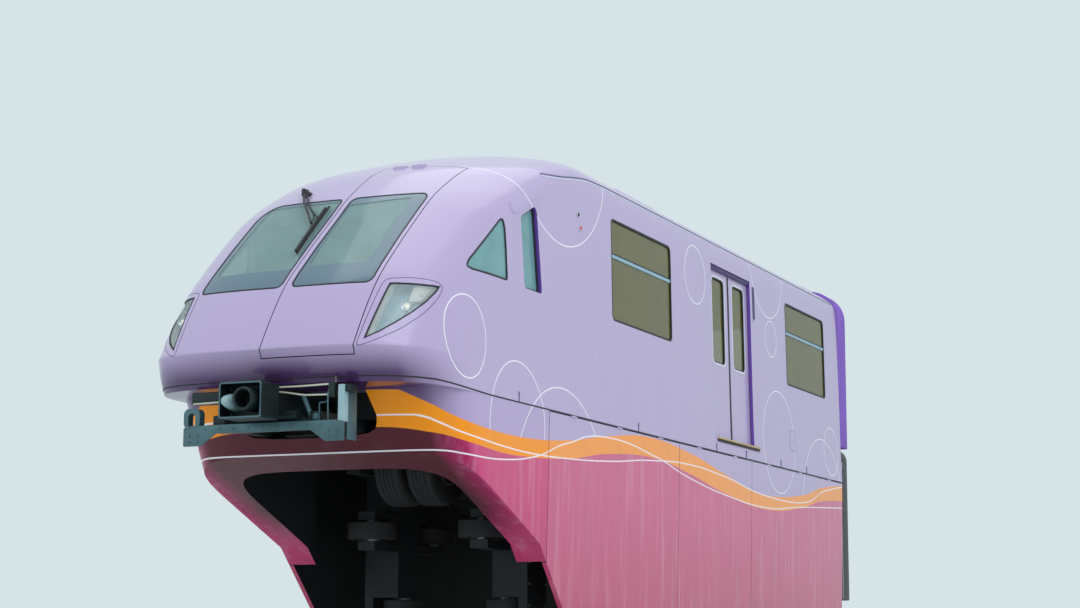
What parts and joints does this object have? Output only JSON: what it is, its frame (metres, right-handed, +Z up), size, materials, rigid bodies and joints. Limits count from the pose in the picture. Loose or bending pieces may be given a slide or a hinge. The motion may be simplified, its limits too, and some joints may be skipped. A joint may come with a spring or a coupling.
{
  "type": "monorail lead car",
  "caption": "Front car of a small straddle monorail: rounded raked nose, sliding saloon doors, hinged skirts, bogies with load, guide and stabilising wheels, and half of the gangway.",
  "frame": {"origin": "middle of the car's length and width, at the height of the feet of the bogie legs, the lowest faces", "axes": "the nose points to -Y, the car's left side to +X, +Z up"},
  "size_m": [2.764, 12.93, 4.75],
  "materials": {
    "body_panel": "gloss lavender paint",
    "skirt_panel": "gloss magenta paint",
    "window_glass": "olive tinted",
    "windscreen_glass": "blue-green tinted",
    "lamp_lens": "clear",
    "chassis_steel": "satin black",
    "coupler_steel": "teal grey paint",
    "wheel_rubber": "matt",
    "bellows_fabric": "coated purple fabric",
    "black_rubber": "satin",
    "interior_trim": "light grey",
    "interior_dark": "dark grey",
    "seat_shell": "satin purple"
  },
  "bodies": {
    "car_body": {"side_wall_left": "body_panel", "window_left_front": "window_glass", "bench_left_front": "seat_shell", "window_left_rear": "window_glass", "bench_left_rear": "seat_shell", "side_wall_right": "body_panel", "window_right_front": "window_glass", "bench_right_front": "seat_shell", "window_right_rear": "window_glass", "bench_right_rear": "seat_shell", "roof": "body_panel", "nose_shell": "body_panel", "nose_valance": "skirt_panel", "rear_end_wall": "body_panel", "gangway_bellows": "bellows_fabric", "gangway_apron": "black_rubber", "windscreen_right": "windscreen_glass", "headlight_left": "lamp_lens", "headlight_right": "lamp_lens", "quarter_window_left": "windscreen_glass", "quarter_window_right": "windscreen_glass", "cab_window_left": "windscreen_glass", "underframe": "chassis_steel", "coupler_beam": "coupler_steel", "coupler_head": "coupler_steel", "cab_partition": "interior_trim", "cab_desk": "interior_dark"},
    "door_leaf_left_front": {"door_leaf_left_front": "body_panel"},
    "door_leaf_left_rear": {"door_leaf_left_rear": "body_panel"},
    "door_leaf_right_front": {"door_leaf_right_front": "body_panel"},
    "door_leaf_right_rear": {"door_leaf_right_rear": "body_panel"},
    "cab_door_right": {"cab_door_right": "body_panel"},
    "front_door": {"front_door": "body_panel", "windscreen_left": "windscreen_glass"},
    "skirt_left_1": {"skirt_left_1": "skirt_panel"},
    "skirt_right_1": {"skirt_right_1": "skirt_panel"},
    "skirt_left_2": {"skirt_left_2": "skirt_panel"},
    "skirt_right_2": {"skirt_right_2": "skirt_panel"},
    "skirt_left_3": {"skirt_left_3": "skirt_panel"},
    "skirt_right_3": {"skirt_right_3": "skirt_panel"},
    "bogie_front": {"bogie_front": "chassis_steel"},
    "wheelset_front_lead": {"wheelset_front_lead": "wheel_rubber"},
    "guide_wheel_front_lead_left": {"guide_wheel_front_lead_left": "wheel_rubber"},
    "guide_wheel_front_lead_right": {"guide_wheel_front_lead_right": "wheel_rubber"},
    "wheelset_front_trail": {"wheelset_front_trail": "wheel_rubber"},
    "guide_wheel_front_trail_left": {"guide_wheel_front_trail_left": "wheel_rubber"},
    "guide_wheel_front_trail_right": {"guide_wheel_front_trail_right": "wheel_rubber"},
    "stable_wheel_front_left": {"stable_wheel_front_left": "wheel_rubber"},
    "stable_wheel_front_right": {"stable_wheel_front_right": "wheel_rubber"},
    "bogie_rear": {"bogie_rear": "chassis_steel"},
    "wheelset_rear_lead": {"wheelset_rear_lead": "wheel_rubber"},
    "guide_wheel_rear_lead_left": {"guide_wheel_rear_lead_left": "wheel_rubber"},
    "guide_wheel_rear_lead_right": {"guide_wheel_rear_lead_right": "wheel_rubber"},
    "wheelset_rear_trail": {"wheelset_rear_trail": "wheel_rubber"},
    "guide_wheel_rear_trail_left": {"guide_wheel_rear_trail_left": "wheel_rubber"},
    "guide_wheel_rear_trail_right": {"guide_wheel_rear_trail_right": "wheel_rubber"},
    "stable_wheel_rear_left": {"stable_wheel_rear_left": "wheel_rubber"},
    "stable_wheel_rear_right": {"stable_wheel_rear_right": "wheel_rubber"}
  },
  "joints": [
    {"name": "slide_left_front", "type": "slide", "parent": "car_body", "child": "door_leaf_left_front", "axis": [0, -1, 0], "range_m": [0, 0.676]},
    {"name": "slide_left_rear", "type": "slide", "parent": "car_body", "child": "door_leaf_left_rear", "axis": [0, 1, 0], "range_m": [0, 0.676]},
    {"name": "slide_right_front", "type": "slide", "parent": "car_body", "child": "door_leaf_right_front", "axis": [0, -1, 0], "range_m": [0, 0.676]},
    {"name": "slide_right_rear", "type": "slide", "parent": "car_body", "child": "door_leaf_right_rear", "axis": [0, 1, 0], "range_m": [0, 0.676]},
    {"name": "cab_door_hinge", "type": "hinge", "parent": "car_body", "child": "cab_door_right", "pos_m": [-1.245, -3.439, 2.26], "axis": [0, 0, 1], "range_deg": [0, 85]},
    {"name": "front_door_hinge", "type": "hinge", "parent": "car_body", "child": "front_door", "pos_m": [0, -4.039, 4.302], "axis": [-1, 0, 0], "range_deg": [0, 70]},
    {"name": "skirt_left_1_hinge", "type": "hinge", "parent": "car_body", "child": "skirt_left_1", "pos_m": [1.362, -3.385, 2.076], "axis": [0, -1, 0], "range_deg": [0, 80]},
    {"name": "skirt_right_1_hinge", "type": "hinge", "parent": "car_body", "child": "skirt_right_1", "pos_m": [-1.362, -3.385, 2.076], "axis": [0, 1, 0], "range_deg": [0, 80]},
    {"name": "skirt_left_2_hinge", "type": "hinge", "parent": "car_body", "child": "skirt_left_2", "pos_m": [1.362, -0.035, 2.076], "axis": [0, -1, 0], "range_deg": [0, 80]},
    {"name": "skirt_right_2_hinge", "type": "hinge", "parent": "car_body", "child": "skirt_right_2", "pos_m": [-1.362, -0.035, 2.076], "axis": [0, 1, 0], "range_deg": [0, 80]},
    {"name": "skirt_left_3_hinge", "type": "hinge", "parent": "car_body", "child": "skirt_left_3", "pos_m": [1.362, 2.355, 2.076], "axis": [0, -1, 0], "range_deg": [0, 80]},
    {"name": "skirt_right_3_hinge", "type": "hinge", "parent": "car_body", "child": "skirt_right_3", "pos_m": [-1.362, 2.355, 2.076], "axis": [0, 1, 0], "range_deg": [0, 80]},
    {"name": "bogie_front_yaw", "type": "hinge", "parent": "car_body", "child": "bogie_front", "pos_m": [0, -2.535, 2.05], "axis": [0, 0, 1], "range_deg": [-4, 4]},
    {"name": "wheelset_front_lead_spin", "type": "hinge", "parent": "bogie_front", "child": "wheelset_front_lead", "pos_m": [0, -3.285, 1.64], "axis": [1, 0, 0], "continuous": true},
    {"name": "guide_wheel_front_lead_left_spin", "type": "hinge", "parent": "bogie_front", "child": "guide_wheel_front_lead_left", "pos_m": [0.581, -3.135, 1.04], "axis": [0, 0, 1], "continuous": true},
    {"name": "guide_wheel_front_lead_right_spin", "type": "hinge", "parent": "bogie_front", "child": "guide_wheel_front_lead_right", "pos_m": [-0.581, -3.135, 1.04], "axis": [0, 0, 1], "continuous": true},
    {"name": "wheelset_front_trail_spin", "type": "hinge", "parent": "bogie_front", "child": "wheelset_front_trail", "pos_m": [0, -1.785, 1.64], "axis": [1, 0, 0], "continuous": true},
    {"name": "guide_wheel_front_trail_left_spin", "type": "hinge", "parent": "bogie_front", "child": "guide_wheel_front_trail_left", "pos_m": [0.581, -1.935, 1.04], "axis": [0, 0, 1], "continuous": true},
    {"name": "guide_wheel_front_trail_right_spin", "type": "hinge", "parent": "bogie_front", "child": "guide_wheel_front_trail_right", "pos_m": [-0.581, -1.935, 1.04], "axis": [0, 0, 1], "continuous": true},
    {"name": "stable_wheel_front_left_spin", "type": "hinge", "parent": "bogie_front", "child": "stable_wheel_front_left", "pos_m": [0.551, -2.535, 0.335], "axis": [0, 0, 1], "continuous": true},
    {"name": "stable_wheel_front_right_spin", "type": "hinge", "parent": "bogie_front", "child": "stable_wheel_front_right", "pos_m": [-0.551, -2.535, 0.335], "axis": [0, 0, 1], "continuous": true},
    {"name": "bogie_rear_yaw", "type": "hinge", "parent": "car_body", "child": "bogie_rear", "pos_m": [0, 4.165, 2.05], "axis": [0, 0, 1], "range_deg": [-4, 4]},
    {"name": "wheelset_rear_lead_spin", "type": "hinge", "parent": "bogie_rear", "child": "wheelset_rear_lead", "pos_m": [0, 3.415, 1.64], "axis": [1, 0, 0], "continuous": true},
    {"name": "guide_wheel_rear_lead_left_spin", "type": "hinge", "parent": "bogie_rear", "child": "guide_wheel_rear_lead_left", "pos_m": [0.581, 3.565, 1.04], "axis": [0, 0, 1], "continuous": true},
    {"name": "guide_wheel_rear_lead_right_spin", "type": "hinge", "parent": "bogie_rear", "child": "guide_wheel_rear_lead_right", "pos_m": [-0.581, 3.565, 1.04], "axis": [0, 0, 1], "continuous": true},
    {"name": "wheelset_rear_trail_spin", "type": "hinge", "parent": "bogie_rear", "child": "wheelset_rear_trail", "pos_m": [0, 4.915, 1.64], "axis": [1, 0, 0], "continuous": true},
    {"name": "guide_wheel_rear_trail_left_spin", "type": "hinge", "parent": "bogie_rear", "child": "guide_wheel_rear_trail_left", "pos_m": [0.581, 4.765, 1.04], "axis": [0, 0, 1], "continuous": true},
    {"name": "guide_wheel_rear_trail_right_spin", "type": "hinge", "parent": "bogie_rear", "child": "guide_wheel_rear_trail_right", "pos_m": [-0.581, 4.765, 1.04], "axis": [0, 0, 1], "continuous": true},
    {"name": "stable_wheel_rear_left_spin", "type": "hinge", "parent": "bogie_rear", "child": "stable_wheel_rear_left", "pos_m": [0.551, 4.165, 0.335], "axis": [0, 0, 1], "continuous": true},
    {"name": "stable_wheel_rear_right_spin", "type": "hinge", "parent": "bogie_rear", "child": "stable_wheel_rear_right", "pos_m": [-0.551, 4.165, 0.335], "axis": [0, 0, 1], "continuous": true}
  ],
  "couplings": [
    {"joint": "slide_left_rear", "follows": "slide_left_front", "ratio": 1},
    {"joint": "slide_right_rear", "follows": "slide_right_front", "ratio": 1}
  ]
}
